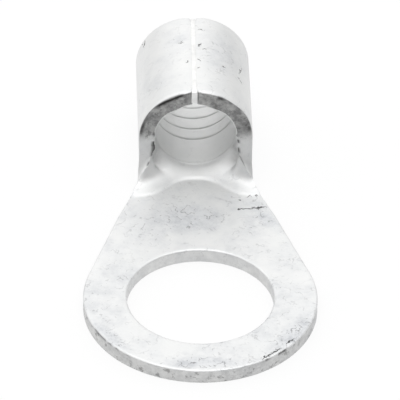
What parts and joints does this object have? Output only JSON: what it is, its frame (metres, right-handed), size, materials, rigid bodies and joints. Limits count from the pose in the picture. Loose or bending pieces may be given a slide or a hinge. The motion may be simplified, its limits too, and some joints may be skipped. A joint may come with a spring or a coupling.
{
  "type": "ring terminal",
  "caption": "Uninsulated ring terminal: flat ring and tapered tongue for a stud, curled up into a round brazed-seam barrel for a stranded conductor.",
  "frame": {"origin": "centre of the stud hole on the ring's underside", "axes": "+Z along the stud hole out of the ring's upper face, +Y along the barrel towards its wire end, +X across the ring"},
  "size_m": [0.0166, 0.0316, 0.0087],
  "materials": {
    "tinned_copper": "matt electro-tinned copper, lightly scuffed"
  },
  "bodies": {
    "root": {"terminal": "tinned_copper"}
  },
  "joints": []
}
